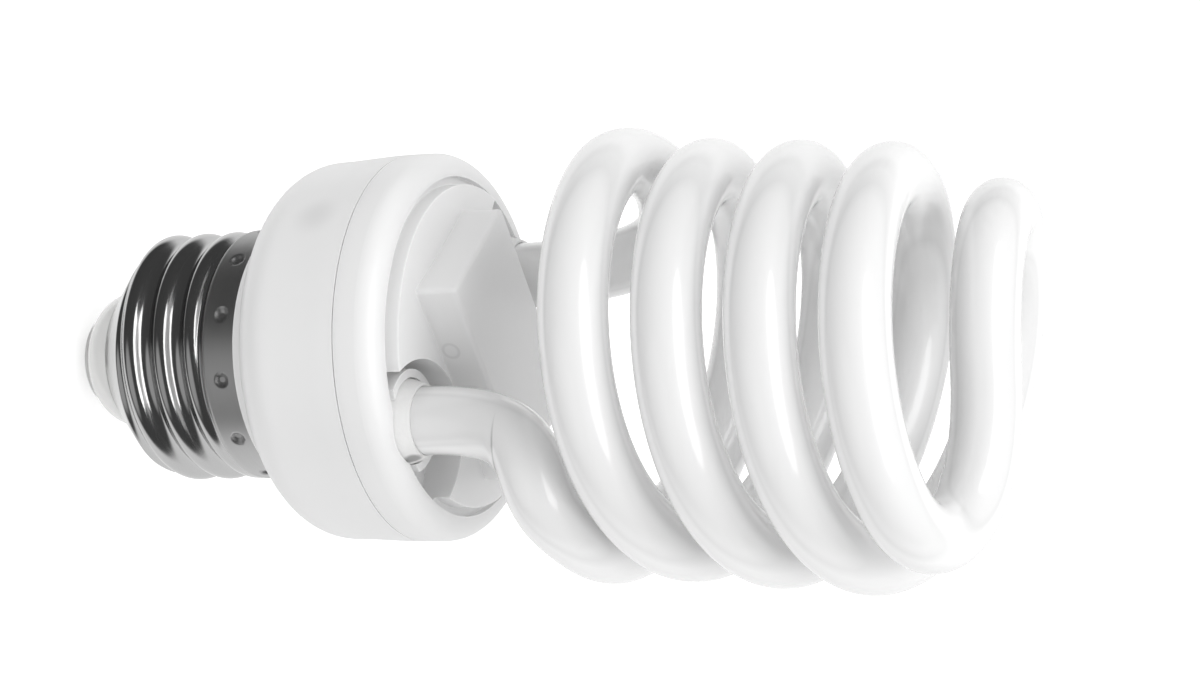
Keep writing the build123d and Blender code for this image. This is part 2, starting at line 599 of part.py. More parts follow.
def make_choke_bobbin():
    """Square tube round the middle post with two flanges, on two feet that carry the core and the pins."""
    around = 2 * BOBBIN_WALL
    full = around + 2 * WINDING_BUILD
    bobbin = bar((TUNNEL_WIDTH + around, TUNNEL_DEPTH + around, BOBBIN_HEIGHT), BOBBIN_LOW_Z)
    for flange_z in (BOBBIN_LOW_Z, BOBBIN_LOW_Z + BOBBIN_HEIGHT - BOBBIN_WALL):
        bobbin += bar((TUNNEL_WIDTH + full, TUNNEL_DEPTH + full, BOBBIN_WALL), flange_z)
    bobbin -= bar((TUNNEL_WIDTH, TUNNEL_DEPTH, BOBBIN_HEIGHT + 2), BOBBIN_LOW_Z - 1)
    foot_y = TUNNEL_DEPTH / 2 + BOBBIN_WALL + WINDING_BUILD / 2
    foot_height = BOBBIN_LOW_Z + BOBBIN_WALL / 2 - BOARD_TOP_Z
    ledge_y = foot_y + WINDING_BUILD / 2 - (CHOKE_LEDGE + WINDING_BUILD) / 2
    for side in (-1, 1):
        bobbin += bar((BOBBIN_FOOT_LENGTH, WINDING_BUILD, foot_height), BOARD_TOP_Z, (0, side * foot_y))
        ledge = (BOBBIN_FOOT_LENGTH, CHOKE_LEDGE + WINDING_BUILD, CHOKE_STAND)
        bobbin += bar(ledge, BOARD_TOP_Z, (0, side * ledge_y))
    bobbin = CHOKE_FRAME * bobbin
    for side in (-1, 1):
        at = (CHOKE_FRAME * Pos(-side * CHOKE_PIN_X, side * foot_y)).position
        bobbin += board_lead(at.X, at.Y, LEAD_FOOT_Z, BOARD_TOP_Z + CHOKE_STAND / 2)
    return bobbin


def make_choke_winding():
    """Enamelled wire wound nearly full between the flanges."""
    inner_x = TUNNEL_WIDTH + 2 * BOBBIN_WALL + 2 * WINDING_GAP
    inner_y = TUNNEL_DEPTH + 2 * BOBBIN_WALL + 2 * WINDING_GAP
    height = BOBBIN_HEIGHT - 2 * BOBBIN_WALL - 2 * WINDING_GAP
    build = WINDING_BUILD - 4 * WINDING_GAP
    low_z = CORE_MIDDLE_Z - height / 2
    coil = bar((inner_x + 2 * build, inner_y + 2 * build, height), low_z)
    coil = fillet(coil.edges().filter_by(Axis.Z), build * 0.8)
    return CHOKE_FRAME * (coil - bar((inner_x, inner_y, height + 2), low_z - 1))


TOROID_TOP_Z = BOARD_BOTTOM_Z - 2 * TURN_WIRE_R - 2 * TURN_GAP
TOROID_AT = Pos(place(TOROID_PLACE_R, TOROID_PLACE_ANGLE))


def make_drive_toroid():
    """Ferrite ring lying under the board."""
    ring = disc(TOROID_R, TOROID_TOP_Z - TOROID_HEIGHT, TOROID_TOP_Z)
    ring -= disc(TOROID_BORE_R, TOROID_TOP_Z - TOROID_HEIGHT - 1, TOROID_TOP_Z + 1)
    return TOROID_AT * fillet(ring.edges(), TOROID_ROUND)


def make_toroid_windings():
    """Three windings of three turns; the outer turns of each reach up through the board."""
    off = TURN_GAP + TURN_WIRE_R
    middle_r = (TOROID_R + TOROID_BORE_R) / 2
    outer_r, inner_r = TOROID_R + off, TOROID_BORE_R - off
    high_z, low_z = TOROID_TOP_Z + off, TOROID_TOP_Z - TOROID_HEIGHT - off
    start = Vector(middle_r + TURN_WIRE_R * 1.5, 0, high_z)
    around = [start, (outer_r, 0, high_z), (outer_r, 0, low_z), (inner_r, 0, low_z), (inner_r, 0, high_z),
              (middle_r - TURN_WIRE_R, 0, high_z)]
    inner_turn = wire_along(around, TURN_WIRE_R, TURN_ROUND)
    outer_turn = wire_along([Vector(start.X, 0, LEAD_TOP_Z)] + around, TURN_WIRE_R, TURN_ROUND)
    turns = []
    for winding in range(WINDING_COUNT):
        for i in range(TURNS_PER_WINDING):
            step = i - (TURNS_PER_WINDING - 1) / 2
            angle = FIRST_WINDING_ANGLE + winding * 360 / WINDING_COUNT + step * TURN_STEP_ANGLE
            frame = TOROID_AT * Rot(0, 0, angle)
            outermost = i in (0, TURNS_PER_WINDING - 1)
            turns.append(frame * (outer_turn if outermost else inner_turn))
            if outermost:
                at = (frame * Pos(start.X)).position
                board_holes.append((at.X, at.Y, TURN_WIRE_R + HOLE_GAP))
    return Compound(children=turns)


def make_transistor(angle):
    """Round package with a flat front and three leads in a row."""
    top_z = BOARD_BOTTOM_Z - TRANSISTOR_STAND
    low_z = top_z - TRANSISTOR_HEIGHT
    body = disc(TRANSISTOR_R, low_z, top_z)
    cut_y = -TRANSISTOR_FLAT - TRANSISTOR_R / 2
    body -= bar((TRANSISTOR_R * 3, TRANSISTOR_R, TRANSISTOR_HEIGHT + 2), low_z - 1, (0, cut_y))
    pins = [(i * TRANSISTOR_PITCH, 0) for i in (-1, 0, 1)]
    return with_leads(body, pins, top_z - TRANSISTOR_STAND, ring_frame(TRANSISTOR_PLACE_R, angle))


def make_film_capacitor(size, radius, angle):
    """Dipped box under the board, with rounded edges and two leads."""
    length, width, height = size
    box = bar(size, BOARD_BOTTOM_Z - height)
    box = fillet(box.edges().filter_by(Axis.Z), FILM_ROUND)
    pins = [(-length * FILM_PIN_PART, 0), (length * FILM_PIN_PART, 0)]
    return with_leads(box, pins, BOARD_BOTTOM_Z - height / 2, ring_frame(radius, angle))


def axial_part(dims, frame):
    """Small cylinder lying under the board, with both leads bent up through it."""
    body_r, body_length, span = dims
    axis_z = BOARD_BOTTOM_Z - body_r - HOLE_GAP
    corners = [(-span / 2, LEAD_TOP_Z), (-span / 2, axis_z), (span / 2, axis_z), (span / 2, LEAD_TOP_Z)]
    points = [(frame * Pos(x, 0, z)).position for x, z in corners]
    for point in (points[0], points[-1]):
        board_holes.append((point.X, point.Y, HOLE_R))
    body = Pos(-body_length / 2, 0, axis_z) * Rot(0, 90, 0) * extrude(Circle(body_r), body_length)
    return frame * body + wire_along(points, LEAD_R, AXIAL_BEND_R)


def make_rectifier_diodes():
    """The diodes of the bridge, side by side."""
    diodes = []
    for i in range(DIODE_COUNT):
        x = (i - (DIODE_COUNT - 1) / 2) * DIODE_STEP
        diodes.append(axial_part(DIODE_BODY, Pos(x, DIODE_Y) * Rot(0, 0, 90)))
    return Compound(children=diodes)


def leg_posts():
    """Angle of the leg, side of it and place of the post, for all four posts."""
    for flip in (0, 180):
        for side in (-1, 1):
            yield LEG_ANGLE + flip, side, place(POST_RADIUS, LEG_ANGLE + flip + side * POST_SPREAD_ANGLE)


def make_wire_posts():
    """Four posts that the filament leads are wrapped round."""
    posts = []
    for _, _, at in leg_posts():
        post = disc(POST_R, BOARD_TOP_Z, BOARD_TOP_Z + POST_HEIGHT, (at.X, at.Y))
        posts.append(post + board_lead(at.X, at.Y, LEAD_FOOT_Z, BOARD_TOP_Z + POST_HEIGHT / 2))
    return Compound(children=posts)


def make_filament_leads():
    """The two bare wires that leave each leg and run to the posts."""
    leads = []
    wire_z = BOARD_TOP_Z + FILAMENT_HEIGHT
    for leg_angle, side, post in leg_posts():
        start = place(LEG_RADIUS, leg_angle, LEG_FOOT_Z) + place(FILAMENT_SPREAD * side, leg_angle + 90)
        low = Vector(start.X, start.Y, wire_z)
        level_post = Vector(post.X, post.Y, wire_z)
        stop = level_post + (low - level_post).normalized() * (POST_R + FILAMENT_WIRE_R * 0.2)
        leads.append(wire_along([start, low, stop], FILAMENT_WIRE_R, FILAMENT_BEND_R))
    return Compound(children=leads)


def make_live_lead():
    """Insulated wire from the centre contact up beside the capacitor to the board."""
    side = place(LIVE_RADIUS, LIVE_ANGLE)
    board_holes.append((side.X, side.Y, SUPPLY_WIRE_R + HOLE_GAP))
    points = [(0, 0, CONTACT_SHEET + HOLE_GAP / 2), (0, 0, LIVE_BEND_Z),
              (side.X, side.Y, LIVE_SIDE_Z), (side.X, side.Y, LEAD_TOP_Z)]
    return wire_along(points, SUPPLY_WIRE_R, [LIVE_LOW_BEND_R, LIVE_HIGH_BEND_R])


def make_neutral_lead():
    """Insulated wire from the inside of the collar through the neck wall and up to the board."""
    inside_r = NECK_BORE_R - NEUTRAL_INSET
    contact = place(COLLAR_INNER_R - HOLE_GAP / 2, NEUTRAL_ANGLE, NEUTRAL_Z)
    inside = place(inside_r, NEUTRAL_ANGLE, NEUTRAL_Z)
    top = place(inside_r, NEUTRAL_ANGLE, LEAD_TOP_Z)
    board_holes.append((top.X, top.Y, SUPPLY_WIRE_R + HOLE_GAP))
    return wire_along([contact, inside, top], SUPPLY_WIRE_R, NEUTRAL_BEND_R)


def make_ballast_board():
    """Round board with a hole for every lead."""
    board = disc(BOARD_R, BOARD_BOTTOM_Z, BOARD_TOP_Z)
    for x, y, radius in board_holes:
        board -= disc(radius, BOARD_BOTTOM_Z - 1, BOARD_TOP_Z + 1, (x, y))
    return board


MAKERS = {
    "screw_shell": make_screw_shell,
    "centre_contact": make_centre_contact,
    "cap_insulator": make_cap_insulator,
    "lower_case": make_lower_case,
    "tube_cover": make_tube_cover,
    "discharge_tube": make_discharge_tube,
    "front_leg_cement": lambda: make_leg_cement(0),
    "rear_leg_cement": lambda: make_leg_cement(180),
    "bulk_capacitor": make_bulk_capacitor,
    "choke_core": make_choke_core,
    "choke_bobbin": make_choke_bobbin,
    "choke_winding": make_choke_winding,
    "drive_toroid": make_drive_toroid,
    "toroid_windings": make_toroid_windings,
    "high_side_transistor": lambda: make_transistor(HIGH_SIDE_ANGLE),
    "low_side_transistor": lambda: make_transistor(LOW_SIDE_ANGLE),
    "resonant_capacitor": lambda: make_film_capacitor(RESONANT_SIZE, RESONANT_PLACE_R, RESONANT_ANGLE),
    "blocking_capacitor": lambda: make_film_capacitor(BLOCKING_SIZE, BLOCKING_PLACE_R, BLOCKING_ANGLE),
    "rectifier_diodes": make_rectifier_diodes,
    "start_resistor": lambda: axial_part(RESISTOR_BODY, ring_frame(RESISTOR_PLACE_R, RESISTOR_ANGLE)),
    "trigger_diac": lambda: axial_part(DIAC_BODY, ring_frame(DIAC_PLACE_R, DIAC_ANGLE)),
    "fusible_resistor": lambda: axial_part(FUSE_BODY, ring_frame(FUSE_PLACE_R, FUSE_ANGLE)),
    "wire_posts": make_wire_posts,
    "filament_leads": make_filament_leads,
    "live_lead": make_live_lead,
    "neutral_lead": make_neutral_lead,
    "ballast_board": make_ballast_board,
}

for name, maker in MAKERS.items():
    part = save(name, maker())
    print(name, round(part.volume, 1), "mm3")
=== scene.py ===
# %% [markdown]
# # A spiral fluorescent bulb on white
# The bulb has a screw cap of thin rolled metal, a white moulded housing in two parts, and one long glass
# tube that leaves the housing on two legs and winds round itself as a double spiral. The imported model
# gives every part its true size and place. This lesson adds the real thread, the finely drawn glass with
# its fold, the finishes, the light and the camera.

import math

import bpy
import numpy as np
from mathutils import Matrix, Vector


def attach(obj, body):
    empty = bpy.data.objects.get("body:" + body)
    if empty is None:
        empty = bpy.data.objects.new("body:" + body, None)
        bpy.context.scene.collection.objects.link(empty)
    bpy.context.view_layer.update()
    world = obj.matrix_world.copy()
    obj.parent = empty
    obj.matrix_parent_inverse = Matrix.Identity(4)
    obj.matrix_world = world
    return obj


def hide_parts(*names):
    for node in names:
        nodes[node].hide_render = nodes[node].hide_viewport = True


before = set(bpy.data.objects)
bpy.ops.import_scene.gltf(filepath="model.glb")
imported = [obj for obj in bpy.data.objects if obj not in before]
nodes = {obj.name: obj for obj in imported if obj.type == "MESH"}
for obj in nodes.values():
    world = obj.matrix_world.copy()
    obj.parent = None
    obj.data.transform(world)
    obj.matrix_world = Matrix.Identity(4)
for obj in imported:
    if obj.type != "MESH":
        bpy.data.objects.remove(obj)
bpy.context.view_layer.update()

# %% [markdown]
# ## Camera
# The photograph looks at the bulb from one side and a little from above its glass end, and the bulb
# lies across the picture, cap on the left. A camera can be placed by eye, but here the outline of the
# bulb gave its place, its directions and its lens by a fit, so that the two pictures can be laid over
# each other.

# %% Camera
MM = 0.001
CAMERA_AT = Vector((-0.13, -341.13, 212.88)) * MM
CAMERA_RIGHT = Vector((0.0399, 0.4099, 0.9113)).normalized()
CAMERA_FORWARD = Vector((0.0, 0.9120, -0.4102)).normalized()
CAMERA_UP = CAMERA_RIGHT.cross(CAMERA_FORWARD).normalized()
LENS_MM, SENSOR_MM = 110.39, 36.0
NEAREST = 0.01

camera_data = bpy.data.cameras.new("photo_camera")
camera_data.lens = LENS_MM
camera_data.sensor_width = SENSOR_MM
camera_data.clip_start = NEAREST
camera = bpy.data.objects.new("photo_camera", camera_data)
bpy.context.collection.objects.link(camera)
axes = Matrix((CAMERA_RIGHT, CAMERA_UP, -CAMERA_FORWARD)).transposed()
camera.matrix_world = Matrix.Translation(CAMERA_AT) @ axes.to_4x4()
bpy.context.scene.camera = camera
print("camera", [round(v, 4) for v in CAMERA_AT], "up", [round(v, 3) for v in CAMERA_UP])

# %% [markdown]
# ## From grids of points to meshes
# Both new pieces are surfaces of two parameters: rings of points along a path, or an outline turned
# round an axis. Each could be a curve with a bevel or a Screw modifier, but neither of those can fold
# the glass or dent the collar. So the points are worked out as a whole array, and one helper turns any
# such array into a mesh.

# %% A mesh from a grid


def grid_piece(name, points, closed_rows=False, cap_ends=False):
    """Makes an object from points[row, column] in metres. Columns always close on themselves.
    A face joins rows i and i+1 and columns j and j+1, so its normal is row step times column step."""
    rows, columns = points.shape[:2]
    index = np.arange(rows * columns).reshape(rows, columns)
    below = index if closed_rows else index[:-1]
    above = np.roll(index, -1, axis=0) if closed_rows else index[1:]
    corners = [below, np.roll(below, -1, axis=1), np.roll(above, -1, axis=1), above]
    faces = np.stack(corners, axis=-1).reshape(-1, 4).tolist()
    if cap_ends:
        faces.append(index[0][::-1].tolist())
        faces.append(index[-1].tolist())
    mesh = bpy.data.meshes.new(name)
    mesh.from_pydata(points.reshape(-1, 3).tolist(), [], faces)
    mesh.polygons.foreach_set("use_smooth", np.ones(len(mesh.polygons), dtype=bool))
    mesh.update()
    piece = bpy.data.objects.new(name, mesh)
    bpy.context.collection.objects.link(piece)
    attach(piece, "root")
    print(name, "rings", rows, "points per ring", columns, "faces", len(faces))
    return piece


# %% [markdown]
# ## The glass tube
# The real tube is one glass pipe, bent hot. Its middle line is a straight leg, a bend that lays the
# tube over into the spiral, nearly two turns of a helix, and a curl over the top. The second arm is the
# first one turned by half a turn. The whole coil leans a little on its base, and the lead sags a little
# towards the first turn, as the photograph shows. The line is put together from these few formulas,
# and not drawn by hand, so that each can be changed by one number.

# %% The tube's sizes, in millimetres and degrees
TUBE_R = 3.45
LEG_RADIUS, LEG_ANGLE = 14.1, -58.9
LEG_FOOT_Z, LEG_STRAIGHT_Z = 37.0, 45.2
LEAD_RISE, LEAD_RUN = 15.0, 8.1
LEAD_SAG, SAG_START, SAG_LENGTH = 1.5, 16.0, 32.0
COIL_R, COIL_PITCH, COIL_SWEEP = 18.75, 19.5, 704.0
COIL_START_ANGLE, COIL_START_Z = 325.0, 60.3
FIRST_TURN_BULGE, BULGE_HOLD, BULGE_FADE = 0.88, 35.0, 150.0
CURL_RUN, CROSSING_RUN = 10.4, 14.9
CROSSING_Z, CROSSING_ANGLE = 101.6, 191.5
COIL_LEAN, LEAN_DIRECTION, LEAN_PIVOT_Z = 5.15, -33.7, 40.5
print("tube", 2 * TUBE_R, "mm across, coil", 2 * (COIL_R + TUBE_R), "mm across")

# %% Curves that the line is made of


def at_angle(radius, angle, z=0.0):
    """Points at the radius times the cosine and the sine of the angle, at height z."""
    angle = np.radians(np.asarray(angle, dtype=float))
    return np.stack(np.broadcast_arrays(radius * np.cos(angle), radius * np.sin(angle), z), axis=-1)


def helix(sweep):
    """The angle grows by the sweep, the height by one pitch a turn, and the first turn is wider."""
    bulge = FIRST_TURN_BULGE * np.clip(1 - (sweep - BULGE_HOLD) / BULGE_FADE, 0, 1)
    return at_angle(COIL_R + bulge, COIL_START_ANGLE + sweep, COIL_START_Z + COIL_PITCH * sweep / 360)


def bezier(a, b, c, d, count):
    """Cubic curve: (1-t)^3 a + 3(1-t)^2 t b + 3(1-t) t^2 c + t^3 d, with t from 0 to 1."""
    t = np.linspace(0, 1, count)[:, None]
    return (1 - t) ** 3 * a + 3 * (1 - t) ** 2 * t * b + 3 * (1 - t) * t ** 2 * c + t ** 3 * d


def lean(points):
    """Turns points by the coil's lean about a level axis through the pivot."""
    about = at_angle(1.0, LEAN_DIRECTION + 90)
    turn = np.array(Matrix.Rotation(math.radians(COIL_LEAN), 3, Vector(about)))
    pivot = np.array([0, 0, LEAN_PIVOT_Z])
    return (points - pivot) @ turn.T + pivot


def half_turn(points, flip):
    """Turns points by 180 degrees about Z if flip is true."""
    return points * np.array([-1, -1, 1]) if flip else points


print("height that the helix climbs, in mm", round(COIL_PITCH * COIL_SWEEP / 360, 1))

# %% The middle line of the tube
LEG_POINTS, BEND_POINTS, COIL_POINTS = 60, 200, 1409
HEADING_STEP = 0.5
RING_STEP = 0.5


def lengths_along(line):
    """The length of the line from its start to each of its points."""
    return np.concatenate([[0], np.cumsum(np.linalg.norm(np.diff(line, axis=0), axis=1))])


def coil_heading(sweep, flip):
    """The unit direction of the leaning helix, from the points half a degree before and after."""
    before, after = lean(half_turn(helix(sweep + np.array([-HEADING_STEP, HEADING_STEP])), flip))
    return (after - before) / np.linalg.norm(after - before)


def arm_line(flip):
    """Leg, lead, helix and curl of one arm, from the foot to the middle of the crossing.
    The sag lifts the lead by the square of the sine of the length along it."""
    foot = half_turn(at_angle(LEG_RADIUS, LEG_ANGLE, LEG_FOOT_Z), flip)
    shoulder = half_turn(at_angle(LEG_RADIUS, LEG_ANGLE, LEG_STRAIGHT_Z), flip)
    coil = lean(half_turn(helix(np.linspace(0, COIL_SWEEP, COIL_POINTS)), flip))
    top = np.array([0, 0, CROSSING_Z])
    back = top - at_angle(CROSSING_RUN, CROSSING_ANGLE)
    top, back = lean(half_turn(np.stack([top, back]), flip))
    leg = np.linspace(foot, shoulder, LEG_POINTS)
    before_coil = coil[0] - coil_heading(0.0, flip) * LEAD_RUN
    lead = bezier(shoulder, shoulder + [0, 0, LEAD_RISE], before_coil, coil[0], BEND_POINTS)
    after_coil = coil[-1] + coil_heading(COIL_SWEEP, flip) * CURL_RUN
    curl = bezier(coil[-1], after_coil, back, top, BEND_POINTS)
    line = np.concatenate([leg[:-1], lead[:-1], coil[:-1], curl])
    through_sag = np.clip((lengths_along(line) - SAG_START) / SAG_LENGTH, 0, 1)
    line[:, 2] += LEAD_SAG * np.sin(np.pi * through_sag) ** 2
    return line


def even_steps(line, step):
    """The same line with points at equal steps along its length."""
    length = lengths_along(line)
    places = np.linspace(0, length[-1], int(round(length[-1] / step)) + 1)
    return np.stack([np.interp(places, length, line[:, i]) for i in range(3)], axis=1)


first_arm, second_arm = arm_line(False), arm_line(True)
tube_line = even_steps(np.concatenate([first_arm, second_arm[-2::-1]]), RING_STEP)
print("length of the tube in mm", round(float(lengths_along(tube_line)[-1]), 1))

# %% [markdown]
# ## Carrying a ring along the line
# A ring of points is carried along the line without twisting: at each step its two axes are the last
# ones, made square to the new heading. The glass is a little pinched where the hot tube was folded
# from the leg into the lead, with one small crease on the outer side of that fold. A crease in a
# texture would miss the highlight, so it is in the points.

# %% The tube's surface
TUBE_COLUMNS = 56
FIRST_SIDE = [0.3, 1.0, 0.2]
CREASE_Z, CREASE_WIDTH, CREASE_DEPTH = 55.0, 0.28, 0.13
CREASE_LAST_Z, CREASE_LEAST_SLOPE = 58.2, 0.25


def carried_axes(line):
    """The heading and two unit vectors square to it, each pair the last one freed of its part along
    the heading."""
    heading = np.gradient(line, axis=0)
    heading /= np.linalg.norm(heading, axis=1)[:, None]
    side = np.empty_like(heading)
    current = np.cross(heading[0], FIRST_SIDE)
    for i, along in enumerate(heading):
        current = current - along * current.dot(along)
        current = current / np.linalg.norm(current)
        side[i] = current
    return heading, side, np.cross(heading, side)


def tube_surface(line, radius):
    """Each point is the line's point plus the radius times (cosine a of one axis + sine a of the other),
    with a the angle round the ring. The crease takes a bell curve of the height off the radius."""
    heading, side, other = carried_axes(line)
    a = np.linspace(0, 2 * np.pi, TUBE_COLUMNS, endpoint=False)
    out = np.cos(a)[None, :, None] * side[:, None] + np.sin(a)[None, :, None] * other[:, None]
    outward = line * [1, 1, 0]
    outward = outward / np.linalg.norm(outward, axis=1)[:, None]
    facing_out = np.clip(np.einsum("ijk,ik->ij", out, outward), 0, 1)
    in_lead = (line[:, 2] < CREASE_LAST_Z) & (np.abs(heading[:, 2]) > CREASE_LEAST_SLOPE)
    height = line[:, None, 2] + radius * out[..., 2]
    crease = np.exp(-((height - CREASE_Z) / CREASE_WIDTH) ** 2) * in_lead[:, None] * facing_out
    return line[:, None] + (radius - CREASE_DEPTH * crease)[..., None] * out


tube_points = tube_surface(tube_line, TUBE_R) * MM
glass = grid_piece("spiral_glass", tube_points, cap_ends=True)
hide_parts("discharge_tube")

# %% [markdown]
# ## The screw shell
# The cap is one sheet of metal, drawn to a cup and rolled between two rollers that press the thread
# into it. So its outside is an outline of radius against height, turned round the axis, whose wave moves
# up by one pitch each turn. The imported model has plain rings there, because a helix is hard on a solid
# modeller, and as a grid of points it is one formula. Twelve dents of a punch hold the collar on the
# plastic neck.

# %% The shell's sizes, in millimetres and degrees
THREAD_PITCH, THREAD_CREST_R, THREAD_ARC_R = 25.4 / 7, 13.1, 1.025
COLLAR_R, COLLAR_LENGTH, CAP_HEIGHT, SHEET = 13.15, 3.8, 24.4, 0.3
CONE_FOOT_R, CONE_FOOT_Z, CONE_TOP_R, CONE_TOP_Z = 7.6, 5.4, 11.3, 8.8
STAKE_COUNT, STAKE_BALL_R, STAKE_DEPTH, STAKE_FIRST_ANGLE = 12, 0.9, 0.5, -79.0
THREAD_DEPTH = 2 * (THREAD_ARC_R - math.sqrt(THREAD_ARC_R ** 2 - (THREAD_PITCH / 4) ** 2))
COLLAR_BOTTOM_Z = CAP_HEIGHT - COLLAR_LENGTH
THREAD_TOP_Z = COLLAR_BOTTOM_Z - THREAD_PITCH / 2
FACING_ANGLE = -90.0
print("thread depth in mm", round(THREAD_DEPTH, 2), "top crest at", round(THREAD_TOP_Z, 1))

# %% The shell's outline
START_BELOW, START_ABOVE = 0.4, 1.6
END_BELOW, END_ABOVE = 1.2, 0.1


def smooth_step(low, high, value):
    """0 below low, 1 above high, and 3t^2 - 2t^3 between them."""
    t = np.clip((value - low) / (high - low), 0.0, 1.0)
    return t * t * (3 - 2 * t)


def thread_radius(height, angle):
    """Circular crests and roots, moved along by one pitch for each turn of the angle."""
    phase = height - THREAD_TOP_Z - THREAD_PITCH * (angle - FACING_ANGLE) / 360
    phase = (phase + THREAD_PITCH / 2) % THREAD_PITCH - THREAD_PITCH / 2
    near = np.abs(phase)
    crest_middle = THREAD_CREST_R - THREAD_ARC_R
    root_middle = THREAD_CREST_R - THREAD_DEPTH + THREAD_ARC_R
    crest = crest_middle + np.sqrt(np.maximum(THREAD_ARC_R ** 2 - near ** 2, 0))
    root = root_middle - np.sqrt(np.maximum(THREAD_ARC_R ** 2 - (THREAD_PITCH / 2 - near) ** 2, 0))
    return np.where(near < THREAD_PITCH / 4, crest, root)


def shell_radius(height, angle):
    """The cone at the foot, then the thread, then the collar, each running into the next."""
    climb = (CONE_TOP_R - CONE_FOOT_R) / (CONE_TOP_Z - CONE_FOOT_Z)
    cone = CONE_FOOT_R + climb * (height - CONE_FOOT_Z)
    start = smooth_step(CONE_TOP_Z - START_BELOW, CONE_TOP_Z + START_ABOVE, height)
    low_root = THREAD_CREST_R - THREAD_DEPTH
    body = np.minimum(cone, low_root * (1 - start) + thread_radius(height, angle) * start)
    end = smooth_step(COLLAR_BOTTOM_Z - END_BELOW, COLLAR_BOTTOM_Z + END_ABOVE, height)
    return body * (1 - end) + COLLAR_R * end


def stake_dent(height, angle, radius):
    """Radius after the punch: the ball's surface wherever the ball reaches further in than the sheet."""
    middle_r = COLLAR_R + STAKE_BALL_R - STAKE_DEPTH
    middle_z = COLLAR_BOTTOM_Z + COLLAR_LENGTH / 2
    step = 360 / STAKE_COUNT
    off = (angle - STAKE_FIRST_ANGLE + step / 2) % step - step / 2
    across = np.radians(off) * COLLAR_R
    gone = STAKE_BALL_R ** 2 - across ** 2 - (height - middle_z) ** 2
    ball = middle_r - np.sqrt(np.maximum(gone, 0))
    return np.where(gone > 0, np.minimum(radius, ball), radius)


print("collar radius after the punch, in mm", round(COLLAR_R - STAKE_DEPTH, 2))

# %% The shell's surface
SHELL_COLUMNS = 540
CONE_ROWS, THREAD_ROWS, COLLAR_ROWS, INNER_ROWS = 8, 76, 36, 40
INNER_SINK = STAKE_DEPTH * 0.6

angle_round = np.linspace(0, 360, SHELL_COLUMNS, endpoint=False)
outer_heights = np.concatenate([np.linspace(CONE_FOOT_Z, CONE_TOP_Z, CONE_ROWS)[:-1],
                                np.linspace(CONE_TOP_Z, COLLAR_BOTTOM_Z, THREAD_ROWS)[:-1],
                                np.linspace(COLLAR_BOTTOM_Z, CAP_HEIGHT, COLLAR_ROWS)])
inner_heights = np.linspace(CAP_HEIGHT, CONE_FOOT_Z, INNER_ROWS)
out_z, out_angle = np.meshgrid(outer_heights, angle_round, indexing="ij")
in_z, in_angle = np.meshgrid(inner_heights, angle_round, indexing="ij")
outer_r = stake_dent(out_z, out_angle, shell_radius(out_z, out_angle))
inner_r = shell_radius(in_z, in_angle) - SHEET - INNER_SINK * smooth_step(COLLAR_BOTTOM_Z, CAP_HEIGHT, in_z)
shell_z, shell_r = np.concatenate([out_z, in_z]), np.concatenate([outer_r, inner_r])
shell_points = at_angle(shell_r, np.concatenate([out_angle, in_angle]), shell_z)
shell = grid_piece("threaded_cap", shell_points[:, ::-1] * MM, closed_rows=True)
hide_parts("screw_shell")

# %% [markdown]
# ## Effects as node groups
# A finish is one Principled shader whose colour, roughness and bump vary over the surface. What makes
# them vary is the same on many materials, so each effect is a node group, built once: soft blotches of
# colour, fine grain, the lines of fine rubbing, and a mark at one place. A group gives out a value or
# a mask, and the shader stays in the material.

# %% Two helpers for nodes and one for groups


def add(tree, kind, values=(), **settings):
    """A new node with its settings, and then the values of its sockets as pairs of socket and value."""
    made = tree.nodes.new("ShaderNode" + kind)
    for key, value in settings.items():
        setattr(made, key, value)
    for socket, value in values:
        made.inputs[socket].default_value = value
    return made


def join(tree, *pairs):
    """Links each output to its input."""
    for out, into in pairs:
        tree.links.new(out, into)


def group(name, inputs, output):
    """An empty group with its input and output nodes. A default of three numbers makes a vector socket."""
    tree = bpy.data.node_groups.new(name, "ShaderNodeTree")
    for socket, default in inputs:
        kind = "NodeSocketVector" if isinstance(default, tuple) else "NodeSocketFloat"
        made = tree.interface.new_socket(socket, in_out="INPUT", socket_type=kind)
        made.default_value = default
    tree.interface.new_socket(output, in_out="OUTPUT", socket_type="NodeSocketFloat")
    return tree, tree.nodes.new("NodeGroupInput"), tree.nodes.new("NodeGroupOutput")


# %% The noise effects


def noise_group(name, default_scale, detail, stretch=(1, 1, 1)):
    """Noise on Object coordinates, recentred and scaled: (noise - 0.5) times strength."""
    tree, given, result = group(name, [("Scale", default_scale), ("Strength", 1.0)], "Value")
    place = add(tree, "TexCoord")
    mapping = add(tree, "Mapping", [("Scale", stretch)])
    noise = add(tree, "TexNoise", [("Detail", detail)])
    centred = add(tree, "Math", [(1, 0.5)], operation="SUBTRACT")
    strength = add(tree, "Math", operation="MULTIPLY")
    join(tree, (place.outputs["Object"], mapping.inputs["Vector"]),
         (mapping.outputs["Vector"], noise.inputs["Vector"]), (given.outputs["Scale"], noise.inputs["Scale"]),
         (noise.outputs["Fac"], centred.inputs[0]), (centred.outputs[0], strength.inputs[0]),
         (given.outputs["Strength"], strength.inputs[1]), (strength.outputs[0], result.inputs["Value"]))
    return tree


BLOTCH = noise_group("soft_blotches", 60.0, 2.0)
GRAIN = noise_group("fine_grain", 3000.0, 3.0)
RUBBED = noise_group("rubbed_lines", 900.0, 4.0, stretch=(0.15, 0.15, 3.0))
print("effects", BLOTCH.name, GRAIN.name, RUBBED.name)

# %% The mark effect


